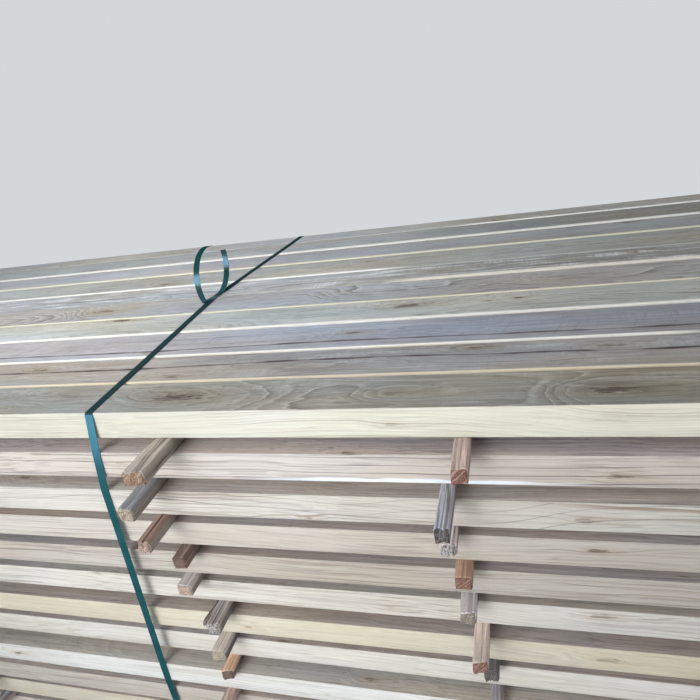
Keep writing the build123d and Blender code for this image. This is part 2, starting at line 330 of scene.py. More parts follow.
def sawn_timber_tree(name, cuts):
    """A geometry tree that turns points with four plan corners and a height into lengths of sawn
    timber with worn edges. The cuts are the rows along, across and up."""
    tree, given, result = new_tree(
        name, "GeometryNodeTree",
        {"Geometry": "Geometry", "Easing": "Float", "Wander": "Float", "Wear": "Float",
         "Ragged ends": "Float", "Material": "Material"}, {"Geometry": "Geometry"})
    # One unit block stands for every length, and knows how far along, across and up each corner is
    block = new_node(tree, "GeometryNodeMeshCube",
                     Vertices_X=cuts[0], Vertices_Y=cuts[1], Vertices_Z=cuts[2])
    here = new_node(tree, "GeometryNodeInputPosition").outputs[0]
    share = vectors(tree, "ADD", here, (0.5, 0.5, 0.5))
    marked = new_node(tree, "GeometryNodeStoreNamedAttribute", {"data_type": "FLOAT_VECTOR"},
                      Geometry=block.outputs[0], Name="share", Value=share).outputs[0]
    laid = new_node(tree, "GeometryNodeInstanceOnPoints", Points=given["Geometry"], Instance=marked)
    solid = new_node(tree, "GeometryNodeRealizeInstances", Geometry=laid.outputs[0]).outputs[0]
    corners = [read_back(tree, "corner_" + letter, "FLOAT_VECTOR") for letter in "abcd"]
    seed = read_back(tree, "seed")
    age = read_back(tree, "age")
    front = vectors(tree, "SUBTRACT", corners[1], corners[0])
    length = vectors(tree, "LENGTH", front)
    width = vectors(tree, "LENGTH", vectors(tree, "SUBTRACT", corners[3], corners[0]))
    sizes = (length, width, read_back(tree, "height"))
    shares = split(tree, read_back(tree, "share", "FLOAT_VECTOR"))
    spacing = ("SMOOTHSTEP", "LINEAR", "LINEAR")
    u, v, w = [eased_rows(tree, s, n, given["Easing"], size, kind)
               for s, n, size, kind in zip(shares, cuts, sizes, spacing)]
    near_side = between(tree, "VECTOR", u, corners[0], corners[1])
    far_side = between(tree, "VECTOR", u, corners[3], corners[2])
    flat = between(tree, "VECTOR", v, near_side, far_side)
    grain = joined(tree, *[times(tree, s, size) for s, size in zip((u, v, w), sizes)])
    along, across, up = split(tree, grain)
    # The arrises are worn: a corner that lies on two faces or more is drawn inwards
    signs = [sums(tree, "SIGN", minus(tree, 0.5, s)) for s in (u, v, w)]
    outer = [sums(tree, "GREATER_THAN", sums(tree, "ABSOLUTE", minus(tree, s, 0.5)), 0.49999)
             for s in (u, v, w)]
    faces = plus(tree, plus(tree, outer[0], outer[1]), outer[2])
    spot = vectors(tree, "ADD", grain, joined(tree, times(tree, seed, 7.0), seed, seed))
    chips = mapped(tree, noise(tree, scaled(tree, spot, 8.0), 3.0), 0.42, 0.75)
    worn = times(tree, times(tree, chips, given["Wear"]), age)
    pull = plus(tree, worn, times(tree, given["Easing"], 0.3))
    pull = times(tree, pull, sums(tree, "GREATER_THAN", faces, 1.5))
    pulls = [times(tree, pull, times(tree, sign, out)) for sign, out in zip(signs, outer)]
    # The saw wandered along each side, and a rough end isn't flat
    side = sums(tree, "SIGN", minus(tree, v, 0.5))
    side = joined(tree, times(tree, along, 0.9), side, seed)
    inset = times(tree, times(tree, noise(tree, side), given["Wander"]), outer[1])
    to_end = sums(tree, "MINIMUM", along, minus(tree, length, along))
    fibre = joined(tree, seed, times(tree, across, 170.0), times(tree, up, 170.0))
    torn = mapped(tree, noise(tree, fibre, 2.0), 0.42, 0.75)
    torn = times(tree, torn, mapped(tree, to_end, 0.0, 0.04, given["Ragged ends"], 0.0))
    torn = times(tree, torn, age)
    step_along = plus(tree, pulls[0], times(tree, torn, signs[0]))
    step_across = plus(tree, pulls[1], times(tree, inset, signs[1]))
    step_up = plus(tree, pulls[2], up)
    ahead = vectors(tree, "NORMALIZE", front)
    aside = vectors(tree, "CROSS_PRODUCT", (0, 0, 1), ahead)
    moved = vectors(tree, "ADD", flat, scaled(tree, ahead, step_along))
    moved = vectors(tree, "ADD", moved, scaled(tree, aside, step_across))
    moved = vectors(tree, "ADD", moved, joined(tree, 0.0, 0.0, step_up))
    shaped = new_node(tree, "GeometryNodeSetPosition", Geometry=solid, Position=moved).outputs[0]
    for kept_name, value in (("grain", grain), ("size", joined(tree, *sizes))):
        shaped = new_node(tree, "GeometryNodeStoreNamedAttribute", {"data_type": "FLOAT_VECTOR"},
                          Geometry=shaped, Name=kept_name, Value=value).outputs[0]
    smooth = new_node(tree, "GeometryNodeSetShadeSmooth", Geometry=shaped, Shade_Smooth=True).outputs[0]
    angle = tree.nodes.new("GeometryNodeInputMeshEdgeAngle").outputs["Unsigned Angle"]
    creased = new_node(tree, "GeometryNodeSetShadeSmooth", {"domain": "EDGE"}, Geometry=smooth,
                       Selection=sums(tree, "GREATER_THAN", angle, 0.6), Shade_Smooth=False).outputs[0]
    realized = new_node(tree, "GeometryNodeRealizeInstances", Geometry=creased).outputs[0]
    painted = new_node(tree, "GeometryNodeSetMaterial", Geometry=realized, Material=given["Material"])
    tree.links.new(painted.outputs[0], result.inputs[0])
    return tree


def joined_shell(node):
    """A CAD node's mesh with its faces joined up along their edges."""
    shell = bmesh.new()
    shell.from_mesh(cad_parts[node].data)
    bmesh.ops.remove_doubles(shell, verts=shell.verts, dist=1e-5)
    return shell


def lengths_in(node):
    """The four plan corners and the height of each length of timber in a CAD node. The corners go
    round from the front left, and a corner carries the level of the underside."""
    shell = joined_shell(node)
    unseen = dict.fromkeys(shell.verts)
    found = []
    while unseen:
        reached = [unseen.popitem()[0]]
        for vert in reached:
            for other in (edge.other_vert(vert) for edge in vert.link_edges):
                if other in unseen:
                    del unseen[other]
                    reached.append(other)
        places = [vert.co.copy() for vert in reached]
        low = min(place.z for place in places)
        high = max(place.z for place in places)
        corners = [max(places, key=lambda p: p.x * x + p.y * y)
                   for x, y in ((-1, -1), (1, -1), (1, 1), (-1, 1))]
        found.append(([Vector((c.x, c.y, low)) for c in corners], high - low))
    shell.free()
    return found


def timber_piece(name, lengths, tree, sizes, material):
    """One piece from its lengths of timber, each a dictionary of what the tree and the material read."""
    mesh = bpy.data.meshes.new(name)
    mesh.from_pydata([length["corner_a"] for length in lengths], [], [])
    for key, value in lengths[0].items():
        parts = 1 if isinstance(value, float) else len(value)
        kind, field = {1: ("FLOAT", "value"), 3: ("FLOAT_VECTOR", "vector"),
                       4: ("FLOAT_COLOR", "color")}[parts]
        layer = mesh.attributes.new(key, kind, "POINT")
        rows = [[length[key]] if parts == 1 else length[key] for length in lengths]
        layer.data.foreach_set(field, [number for row in rows for number in row])
    points = new_object(name + "_points", mesh)
    modifier = points.modifiers.new("sawn", "NODES")
    modifier.node_group = tree
    sockets = {item.name: item.identifier for item in tree.interface.items_tree if item.in_out == "INPUT"}
    for size_name, value in sizes.items():
        modifier[sockets[size_name]] = value
    modifier[sockets["Material"]] = material
    evaluated = points.evaluated_get(bpy.context.evaluated_depsgraph_get())
    plain = bpy.data.meshes.new_from_object(evaluated)
    plain.name = name
    for used_up in ("share", "corner_a", "corner_b", "corner_c", "corner_d", "height"):
        plain.attributes.remove(plain.attributes[used_up])
    piece = new_object(name, plain)
    bpy.data.objects.remove(points)
    return piece


def knot_effect():
    """A knot: how far it pushes the growth rings aside, its dark heart and the brown stain round it."""
    tree, given, result = new_tree(
        "knot", "ShaderNodeTree",
        {"Spot": "Vector", "Place": "Vector", "Darkness": "Float", "Ragged": "Float", "Torn": "Float"},
        dict.fromkeys(("Swirl", "Heart", "Stain"), "Float"))
    place_along, place_across, reach = split(tree, given["Place"])
    along, across, _ = split(tree, given["Spot"])
    past = minus(tree, along, place_along)
    # A knot slants with its branch, so the rings are drawn out further on one side of it
    off_along = sums(tree, "MAXIMUM", times(tree, past, 0.20), times(tree, past, -0.40))
    off_across = minus(tree, across, place_across)
    away = vectors(tree, "LENGTH", joined(tree, off_along, off_across, 0.0))
    away = sums(tree, "DIVIDE", away, reach)
    swirl = mapped(tree, away, 0.0, 2.4, 1.0, 0.0, "SMOOTHERSTEP")
    away = plus(tree, away, times(tree, minus(tree, given["Ragged"], 0.5), 1.1))
    heart = times(tree, mapped(tree, away, 0.20, 0.36, 1.0, 0.0),
                  mapped(tree, given["Torn"], 0.38, 0.54, 0.25, 1.0))
    stain = mapped(tree, away, 0.2, 1.3, 0.55, 0.0, "SMOOTHSTEP")
    feed_all(tree, result, Swirl=times(tree, swirl, times(tree, reach, 0.8)),
             Heart=times(tree, heart, given["Darkness"]), Stain=times(tree, stain, given["Darkness"]))
    return tree


def growth_effect():
    """The figure of sawn timber: growth rings about a pith that wanders, fibres along the grain, soft
    blotches, the short dark flecks of open pores, and long dark streaks and hairlines."""
    shown = ("Rings", "Pale rings", "Fibres", "Blotches", "Flecks", "Streaks", "Hairlines")
    tree, given, result = new_tree(
        "growth", "ShaderNodeTree",
        {"Grain": "Vector", "Width": "Float", "Seed": "Float", "Ring width": "Float",
         "Streaks": "Float", "Swirl": "Float"}, dict.fromkeys(shown, "Float"))
    along, across, up = split(tree, given["Grain"])
    seed = given["Seed"]
    chances = [sums(tree, "FRACT", times(tree, seed, factor)) for factor in (7.13, 3.71, 13.9)]

    def wander(rate, lane, reach):
        line = joined(tree, times(tree, along, rate), lane, seed)
        return times(tree, minus(tree, noise(tree, line), 0.5), reach)

    pith_across = plus(tree, 0.2, times(tree, chances[0], 0.6))
    pith_across = times(tree, given["Width"], pith_across)
    pith_across = plus(tree, pith_across, wander(1.3, 3.0, 0.08))
    pith_up = minus(tree, wander(1.1, 9.0, 0.16), times(tree, chances[1], 0.06))
    slope = times(tree, chances[2], 0.03)
    pith_up = minus(tree, pith_up, times(tree, along, slope))
    from_pith = joined(tree, 0.0, minus(tree, across, pith_across), minus(tree, up, pith_up))
    radius = vectors(tree, "LENGTH", from_pith)
    bend = plus(tree, wander(1.5, 15.0, 0.05), wander(4.0, 21.0, 0.016))
    bend = plus(tree, plus(tree, bend, wander(11.0, 33.0, 0.005)), given["Swirl"])

    def stretched(rate_along, rate_across, detail, lane):
        aside = times(tree, plus(tree, across, bend), rate_across)
        aside = plus(tree, aside, times(tree, seed, lane))
        raised = times(tree, plus(tree, up, bend), rate_across)
        return noise(tree, (times(tree, along, rate_along), aside, raised), detail)

    ripple = times(tree, minus(tree, stretched(9.0, 70.0, 2.0, 5.0), 0.5), 0.005)
    radius = plus(tree, plus(tree, radius, ripple), given["Swirl"])
    turns = sums(tree, "DIVIDE", radius, given["Ring width"])
    uneven = noise(tree, (times(tree, radius, 80.0), seed, 0.0), 2.0)
    turns = plus(tree, turns, times(tree, uneven, 3.0))
    within = sums(tree, "FRACT", turns)
    # Some years left a strong ring and others hardly any
    year = joined(tree, times(tree, radius, 150.0), seed, times(tree, along, 2.0))
    strength = mapped(tree, noise(tree, year, 1.0), 0.40, 0.68, 0.12, 1.4)
    ring = times(tree, sums(tree, "POWER", within, 3.0), mapped(tree, within, 0.90, 1.0, 1.0, 0.0))
    pale_ring = mapped(tree, within, 0.0, 0.26, 1.0, 0.0)
    fine = stretched(22.0, 1100.0, 2.0, 31.0)
    coarse = stretched(3.0, 230.0, 3.0, 17.0)
    feed_all(tree, result, Rings=times(tree, ring, strength),
             Pale_rings=times(tree, pale_ring, strength),
             Fibres=plus(tree, times(tree, fine, 0.4), times(tree, coarse, 0.6)),
             Blotches=stretched(2.2, 9.0, 2.0, 11.0),
             Flecks=mapped(tree, stretched(34.0, 520.0, 1.0, 23.0), 0.64, 0.74),
             Streaks=stretched(3.2, given["Streaks"], 3.0, 41.0),
             Hairlines=mapped(tree, stretched(1.3, 300.0, 1.0, 53.0), 0.58, 0.66))
    return tree


KNOT = knot_effect()
GROWTH = growth_effect()


def stored(tree, name):
    """A value stored on the mesh, read inside a material."""
    return new_node(tree, "ShaderNodeAttribute", {"attribute_name": name}).outputs


def rgba(tint, shade=1.0):
    """A colour with its opacity, made darker or lighter."""
    return (*[share * shade for share in tint], 1.0)


def placed(tree, group, **inputs):
    """A node group placed in a tree. Gives its outputs."""
    return new_node(tree, "ShaderNodeGroup", {"node_tree": group}, **inputs).outputs


def sawn_material(name, ring_width, streaks_a_metre, ridge_depth, figure, contrast, weather):
    """Rough-sawn timber, weathered on its wide faces, fresh on its narrow edges and dark on its ends.
    The figure is how strongly the growth rings show, the contrast is that of the fibres, and the
    weather is how far rain has opened the grain in long dark and pale streaks."""
    material, tree, shader = new_material(name)
    # The commonest sums, on this tree
    part, more, less, ramp = [partial(made, tree) for made in (times, plus, minus, mapped)]

    def mixed(share, a, b):
        return between(tree, "RGBA", share, a, b)

    def marked(colour, mark, share):
        return mixed(share, colour, rgba(MARKS[mark]))

    def washed(colour, wash, share=1.0):
        return between(tree, "RGBA", share, colour, wash, "MULTIPLY")

    def strays(rate, lane, reach):
        line = noise(tree, (part(along, rate), seed, lane), 2.0)
        return part(less(line, 0.5), part(reach, 3.0))

    grain = stored(tree, "grain")["Vector"]
    along, across, up = split(tree, grain)
    length, width, height = split(tree, stored(tree, "size")["Vector"])
    seed, age, streaky, scratched, chalky, figured, ringed, dragged = [
        stored(tree, kept)["Fac"]
        for kept in ("seed", "age", "streak", "scratched", "chalky", "figured", "ringed", "dragged")]
    wide_tint, narrow_tint, end_tint = [stored(tree, side + "_tint")["Color"]
                                        for side in ("wide", "narrow", "end")]
    to_side = sums(tree, "MINIMUM", across, less(width, across))
    to_end = sums(tree, "MINIMUM", along, less(length, along))
    narrow = ramp(to_side, 0.0002, 0.0008, 1.0, 0.0)
    not_narrow = less(1.0, narrow)
    end = ramp(to_end, 0.0002, 0.0008, 1.0, 0.0)
    # Knots, which are placed on the wide faces and on the narrow edges apart
    second = more(part(across, not_narrow), part(up, narrow))
    spot = joined(tree, along, second, seed)
    ragged = noise(tree, vectors(tree, "MULTIPLY", spot, (55.0, 230.0, 1.0)), 3.0)
    torn = noise(tree, vectors(tree, "MULTIPLY", spot, (24.0, 420.0, 1.0)), 2.0)
    swirl, heart, stain = 0.0, 0.0, 0.0
    for number in range(WIDE_KNOTS):
        mark = stored(tree, f"knot_{number + 1}")
        place, darkness, pull = mark["Vector"], part(mark["Alpha"], not_narrow), not_narrow
        if number < NARROW_KNOTS:
            edge_mark = stored(tree, f"edge_knot_{number + 1}")
            place = between(tree, "VECTOR", narrow, place, edge_mark["Vector"])
            darkness = more(darkness, part(edge_mark["Alpha"], narrow))
            pull = more(not_narrow, part(narrow, 0.5))
        knot = placed(tree, KNOT, Spot=spot, Place=place, Darkness=darkness, Ragged=ragged, Torn=torn)
        swirl = more(swirl, part(knot["Swirl"], pull))
        heart = sums(tree, "MAXIMUM", heart, knot["Heart"])
        stain = sums(tree, "MAXIMUM", stain, knot["Stain"])
    growth = placed(tree, GROWTH, Grain=grain, Width=width, Seed=seed, Ring_width=ring_width,
                    Streaks=streaks_a_metre, Swirl=swirl)
    rings, fibres, blotches = growth["Rings"], growth["Fibres"], growth["Blotches"]
    # A dark mineral line wanders along some wide faces
    line = stored(tree, "line")
    line_across, line_reach, line_width = split(tree, line["Vector"])
    line_across = more(line_across, strays(1.9, 3.0, line_reach))
    off_line = sums(tree, "ABSOLUTE", less(across, line_across))
    swell = noise(tree, (part(along, 9.0), seed, 8.0), 2.0)
    thick = part(line_width, ramp(swell, 0.3, 0.8, 0.5, 2.4))
    mineral = ramp(sums(tree, "DIVIDE", off_line, thick), 0.2, 1.3, 1.0, 0.0, "SMOOTHSTEP")
    mineral = part(mineral, part(line["Alpha"], ramp(swell, 0.3, 0.6, 0.4, 1.0)))
    # Lines of the same kind wander side by side along some edges
    edge_line = stored(tree, "edge_line")
    lowest, sway_reach, apart = split(tree, edge_line["Vector"])
    sway = strays(1.6, 12.0, sway_reach)
    off_lines = less(up, more(lowest, sway))
    off_lines = sums(tree, "PINGPONG", off_lines, part(apart, 0.5))
    lines = ramp(off_lines, 0.0003, 0.0013, 1.0, 0.0, "SMOOTHSTEP")
    drawn = noise(tree, (part(along, 3.0), part(less(up, sway), 70.0), seed), 2.0)
    lines = part(lines, part(edge_line["Alpha"], ramp(drawn, 0.38, 0.60, 0.15, 1.0)))
    # Wide faces: grey with pale and dark rings, chattered by the saw, scratched slantwise here and there
    strokes = noise(tree, vectors(tree, "MULTIPLY", grain, (330.0, 9.0, 9.0)), 1.0)
    shade = more(ramp(fibres, 0.30, 0.70, 1.0 - contrast, 1.0 + 0.8 * contrast),
                 ramp(blotches, 0.3, 0.7, -0.12, 0.12))
    # Painted shade: the wide faces are painted darker and browner towards their right ends, where less
    # light falls
    wide_to_right, edge_to_right, painted_warm_shade = split(tree, stored(tree, "to_right")["Vector"])
    shade = part(shade, ramp(along, 2.35, 2.95, 1.0, wide_to_right))
    wide = washed(wide_tint, shade)
    wide = washed(wide, rgba(MARKS["painted_warm_shade"]), part(painted_warm_shade, ramp(along, 1.9, 2.9)))
    hue = noise(tree, (part(along, 1.6), part(across, 8.0), more(seed, 40.0)), 2.0)
    wash = marked(rgba(MARKS["warmer"]), "cooler", ramp(hue, 0.35, 0.65))
    wide = washed(wide, wash)
    figured = part(figured, figure)
    wide = marked(wide, "weathered ring", part(rings, figured))
    wide = marked(wide, "pale ring", part(growth["Pale rings"], part(figured, 0.55)))
    chalk = noise(tree, vectors(tree, "MULTIPLY", grain, (7.0, 60.0, 60.0)), 3.0)
    chalk = part(ramp(chalk, 0.50, 0.66, 0.0, 0.75), chalky)
    wide = marked(wide, "chalk", part(chalk, ramp(strokes, 0.35, 0.6, 0.35, 1.0)))
    slant = part(less(along, part(across, 0.35)), 210.0)
    slant = noise(tree, (slant, part(across, 9.0), seed), 1.0)
    patch = noise(tree, (part(along, 3.1), part(across, 6.0), more(seed, 60.0)), 1.0)
    scratches = part(ramp(slant, 0.62, 0.74), ramp(patch, 0.36, 0.50, 0.0, 0.6))
    scratches = part(scratches, ramp(along, 1.8, 2.3, 1.0, 0.35))
    wide = marked(wide, "scratch", part(scratches, scratched))
    wide = marked(wide, "open pore", part(growth["Flecks"], 0.45))
    wide = marked(wide, "weathered hairline", part(growth["Hairlines"], 0.32))
    wide = marked(wide, "mineral line", mineral)
    opened = part(ramp(growth["Streaks"], 0.50, 0.62), part(streaky, weather))
    silvered = ramp(growth["Streaks"], 0.40, 0.30, 0.0, 0.8 * weather)
    wide = marked(marked(wide, "opened grain", opened), "silvered grain", silvered)
    # The front arris is worn back to fresh wood, over part of its length
    bare_from, bare_to, bare_width = split(tree, stored(tree, "bare")["Vector"])
    loose_along = more(along, part(less(hue, 0.5), 0.5))
    bared = part(ramp(less(loose_along, bare_from), -0.05, 0.05),
                 ramp(less(bare_to, loose_along), -0.05, 0.05))
    chewed = more(across, part(less(fibres, 0.5), 0.006))
    chewed = ramp(sums(tree, "DIVIDE", chewed, bare_width), 0.8, 1.3, 1.0, 0.0)
    wide = mixed(part(chewed, bared), wide, narrow_tint)
    # Narrow edges: fresh, with lines of growth, wavy lilac streaks and a greyer stretch
    shade = more(ramp(fibres, 0.30, 0.70, 0.88, 1.07), ramp(blotches, 0.3, 0.7, -0.07, 0.06))
    # Painted light and shade: each narrow edge is painted lighter or darker towards its right end
    shade = part(shade, ramp(along, 2.1, 2.9, 1.0, edge_to_right))
    wash = marked(rgba(MARKS["faintly warmer"]), "faintly cooler", ramp(blotches, 0.40, 0.60))
    edge = washed(washed(narrow_tint, shade), wash)
    edge = marked(edge, "greyer stretch", ramp(hue, 0.45, 0.75, 0.0, 0.35))
    ringed = part(ringed, ramp(patch, 0.35, 0.55, 0.4, 1.0))
    edge = marked(edge, "fresh ring", part(rings, ringed))
    strong = part(streaky, ramp(patch, 0.40, 0.60, 0.35, 1.0))
    streaks = part(ramp(growth["Streaks"], 0.53, 0.64), part(strong, 0.50))
    edge = marked(edge, "lilac streak", streaks)
    hairlines = part(growth["Hairlines"], more(0.10, part(strong, 0.45)))
    edge = marked(edge, "fresh hairline", hairlines)
    edge = marked(edge, "edge line", lines)
    # A pale bluish band along the lower arris of some front edges
    pale_arris_from, pale_arris_to, pale_arris_height = split(tree, stored(tree, "sapwood")["Vector"])
    sap = part(ramp(less(along, pale_arris_from), 0.0, 0.15), ramp(less(pale_arris_to, along), 0.0, 0.15))
    pale_arris_height = part(pale_arris_height, ramp(swell, 0.35, 0.65, 0.45, 1.25))
    sap = part(sap, ramp(sums(tree, "DIVIDE", up, pale_arris_height), 0.8, 1.1, 1.0, 0.0))
    edge = marked(edge, "bare sapwood", sap)
    edge = marked(marked(edge, "opened grain", opened), "silvered grain", silvered)
    below_top = less(height, up)
    greyed = part(less(1.0, bared), ramp(below_top, 0.006, 0.012, 0.9, 0.0))
    edge = mixed(greyed, edge, wide_tint)
    # Ends: rings cut across, pale where the saw dragged slantwise, under a fuzz of torn fibres
    cross = marked(end_tint, "ring cut across", part(rings, 0.6))
    slant = joined(tree, part(more(across, up), 300.0), part(less(across, up), 26.0), seed)
    dragged = part(ramp(noise(tree, slant, 1.0), 0.54, 0.64), dragged)
    cross = marked(cross, "dragged fibres", dragged)
    fuzz = noise(tree, scaled(tree, grain, 420.0), 2.0)
    old = part(age, 0.42)
    fuzzy = ramp(fuzz, 0.36, 0.64, less(0.9, old), more(1.08, old))
    cross = washed(cross, fuzzy)
    colour = mixed(narrow, wide, edge)
    colour = mixed(stain, colour, washed(colour, rgba(MARKS["round a knot"])))
    colour = marked(colour, "knot", part(heart, 0.95))
    colour = mixed(end, colour, cross)
    # Fibres stand up, and the saw left shallow marks across the board
    relief = more(fibres, part(strokes, 0.35))
    relief = less(relief, more(part(rings, 0.3), heart))
    relief = more(relief, part(fuzz, part(end, 1.5)))
    bump = new_node(tree, "ShaderNodeBump", Strength=0.9, Distance=ridge_depth, Height=relief).outputs[0]
    feed_all(tree, shader, Base_Color=colour, Roughness=ramp(fibres, 0.3, 0.7, 0.92, 0.74),
             Normal=bump, Specular_IOR_Level=0.3)
    return material


def filled(marks, count, draw, length, depth):
    """A length's knots: those seen, and one more somewhere else. The rest lie far off the timber."""
    marks = list(marks)[:count - 1]
    marks.append((draw.uniform(0.1, 0.9) * length, draw.uniform(0.2, 0.8) * depth,
                  draw.uniform(0.1, 0.3) * depth, draw.random() * 0.7))
    return marks + [NO_KNOT] * (count - len(marks))


def add_knots(timber, wide_marks, narrow_marks):
    """Adds the knots of the wide faces and of the narrow edges to a length of timber."""
    for kind, marks in (("knot", wide_marks), ("edge_knot", narrow_marks)):
        for number, mark in enumerate(marks):
            timber[f"{kind}_{number + 1}"] = mark


BOARD_TREE = sawn_timber_tree("sawn boards", BOARD_CUTS)
BOARD_MATERIAL = sawn_material("rough sawn hardwood", ring_width=0.0048, streaks_a_metre=130.0,
                               ridge_depth=0.0010, figure=0.50, contrast=0.27, weather=0.0)
COURSES = len(FRONT_EDGES)
draw = random.Random(11)
for from_top in range(COURSES):
    node = f"course_{COURSES - from_top:02d}"
    boards = []
    for place, (corners, height) in enumerate(sorted(lengths_in(node), key=lambda found: found[0][0].y)):
        is_top = from_top == 0
        is_front = place == 0
        top_number = place + 1 if is_top else None
        front_number = from_top + 1 if is_front else None
        guess = (draw.choice(("cream", "pink", "beige", "white")), draw.random() * 0.6, 0.5, 1.0,
                 draw.choice(("sheltered", "sheltered olive")))
        fresh, streak, ringed, edge_to_right, weathered = FRONT_EDGES[from_top] if is_front else guess
        bare = (-1.0, 9.0, 0.0020)
        if is_top:
            weathered, fresh, bare = TOP_BOARDS[place]
        # The last two of these marks are the painted shade towards the board's right end and its brown
        # tinge
        scratched, chalky, figured, to_right, painted_warm_shade = TOP_MARKS[place] if is_top else SHELTERED_MARKS
        width = corners[3].y - corners[0].y
        knots = TOP_KNOTS[place] if is_top else (
            (draw.uniform(1.2, 2.9), draw.uniform(0.0, 0.04), 0.012, 0.6),)
        board = {f"corner_{letter}": corner for letter, corner in zip("abcd", corners)}
        board.update(
            height=height, seed=draw.uniform(0.0, 20.0), age=draw.uniform(0.3, 1.0),
            wide_tint=rgba(WEATHERED[weathered], draw.uniform(0.96, 1.04)),
            narrow_tint=rgba(FRESH[fresh]), end_tint=rgba(FRESH[fresh], draw.uniform(0.45, 0.75)),
            scratched=scratched, chalky=chalky, figured=figured,
            to_right=(to_right, edge_to_right, painted_warm_shade),
            bare=bare, streak=streak, ringed=ringed, dragged=0.4,
            line=TOP_LINES.get(top_number, NO_LINE), sapwood=EDGE_PALE_ARRIS.get(front_number, NOWHERE),
            edge_line=EDGE_LINES.get(front_number, NO_EDGE_LINES))
        add_knots(board, filled(knots, WIDE_KNOTS, draw, BOARD_REACH, width),
                  (*EDGE_KNOTS.get(front_number, ()), NO_KNOT, NO_KNOT)[:NARROW_KNOTS])
        boards.append(board)
    sizes = {"Easing": 0.002, "Wander": 0.0015, "Wear": 0.0012, "Ragged ends": 0.002}
    course = timber_piece(node + "_boards", boards, BOARD_TREE, sizes, BOARD_MATERIAL)
    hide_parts(node)
    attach(course, "root")

# Loose sticks between the courses, which let the air through. They are offcuts, each from another
# board: sawn square, never planed, and older and more weathered than what they carry. Some have split.

EARTH = {
    "grey brown": (0.330, 0.285, 0.240),
    "slate": (0.262, 0.264, 0.272),
    "red brown": (0.200, 0.125, 0.100),
    "orange": (0.340, 0.215, 0.140),
    "pink tan": (0.480, 0.360, 0.300),
    "light grey": (0.440, 0.420, 0.395),
    "dark grey": (0.160, 0.150, 0.145),
    "lilac grey": (0.360, 0.335, 0.350),
    "cream": (0.445, 0.370, 0.285),
    "light brown": (0.450, 0.385, 0.335),
    "mauve": (0.640, 0.565, 0.535),
    "chalk grey": (0.700, 0.650, 0.660),
    "honey": (0.560, 0.345, 0.235),
    "amber": (0.770, 0.510, 0.340),
    "salmon": (0.600, 0.475, 0.415),
    "pale slate": (0.480, 0.490, 0.530),
    "pale pink": (0.800, 0.670, 0.610),
    "brick": (0.270, 0.128, 0.094),
    "russet": (0.375, 0.240, 0.185),
}
# The sticks out of sight draw on the commoner tints, which stand first
COMMON_EARTH = tuple(EARTH)[:15]
# Top, sides, end, age, crack and slantwise saw marks on the end, of the sticks under each course from
# the top, in the two columns seen
SEEN_STICKS = {
    4: (
        ("light brown", "grey brown", "orange", 0.8, 0.4, 0.3),
        ("slate", "grey brown", "cream", 0.7, 0.7, 0.0),
        ("russet", "grey brown", "pink tan", 0.9, 1.0, 0.3),
        ("red brown", "red brown", "red brown", 0.15, 0.0, 0.0),
        ("mauve", "grey brown", "pink tan", 0.4, 0.0, 0.2),
        ("light brown", "dark grey", "light grey", 1.0, 1.0, 0.0),
        ("mauve", "dark grey", "cream", 0.4, 0.0, 0.0),
        ("amber", "dark grey", "red brown", 0.4, 0.0, 0.2),
        ("pink tan", "pink tan", "pink tan", 0.3, 0.0, 0.3),
    ),
    5: (
        ("salmon", "pink tan", "brick", 0.3, 0.5, 0.6),
        ("pale slate", "lilac grey", "dark grey", 1.0, 0.6, 0.0),
        ("pale pink", "lilac grey", "light grey", 1.0, 0.3, 0.0),
        ("honey", "pink tan", "brick", 0.3, 0.0, 0.3),
        ("chalk grey", "lilac grey", "grey brown", 0.6, 0.3, 0.1),
        ("pale pink", "pink tan", "brick", 0.3, 0.4, 0.5),
        ("dark grey", "slate", "dark grey", 0.6, 0.0, 0.0),
        ("lilac grey", "pink tan", "grey brown", 0.5, 0.3, 0.3),
    ),
}
# A splinter that stands off the sixth stick of the column right of the strap
SPLINTER = {"column": 4, "stick": 5, "root": 0.150, "tip": 0.009, "width": 0.011, "off": 0.016}
STICK_COLUMNS = 7
